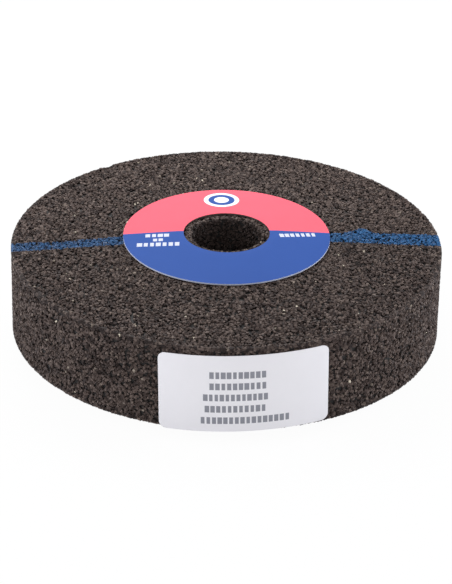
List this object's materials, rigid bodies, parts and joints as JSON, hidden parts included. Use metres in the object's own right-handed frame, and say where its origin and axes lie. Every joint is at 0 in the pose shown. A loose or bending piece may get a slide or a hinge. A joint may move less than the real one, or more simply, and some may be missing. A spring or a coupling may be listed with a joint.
{
  "type": "grinding wheel",
  "caption": "Thick round grinding wheel, tapered towards the rim on both faces, with a straight bore, card blotters on both faces and a paper label on the rim.",
  "frame": {"origin": "the middle of the bore, halfway between the two hub faces", "axes": "+Z along the spindle axis towards the front blotter, -Y towards the rim label, +X to its right seen from outside"},
  "size_m": [0.125, 0.1251, 0.0328],
  "materials": {
    "abrasive": "matte",
    "printed_card": "satin",
    "plain_card": "matte",
    "label_paper": "satin"
  },
  "bodies": {
    "root": {"abrasive_wheel": "abrasive", "front_blotter": "printed_card", "rear_blotter": "plain_card", "rim_label": "label_paper"}
  },
  "joints": []
}
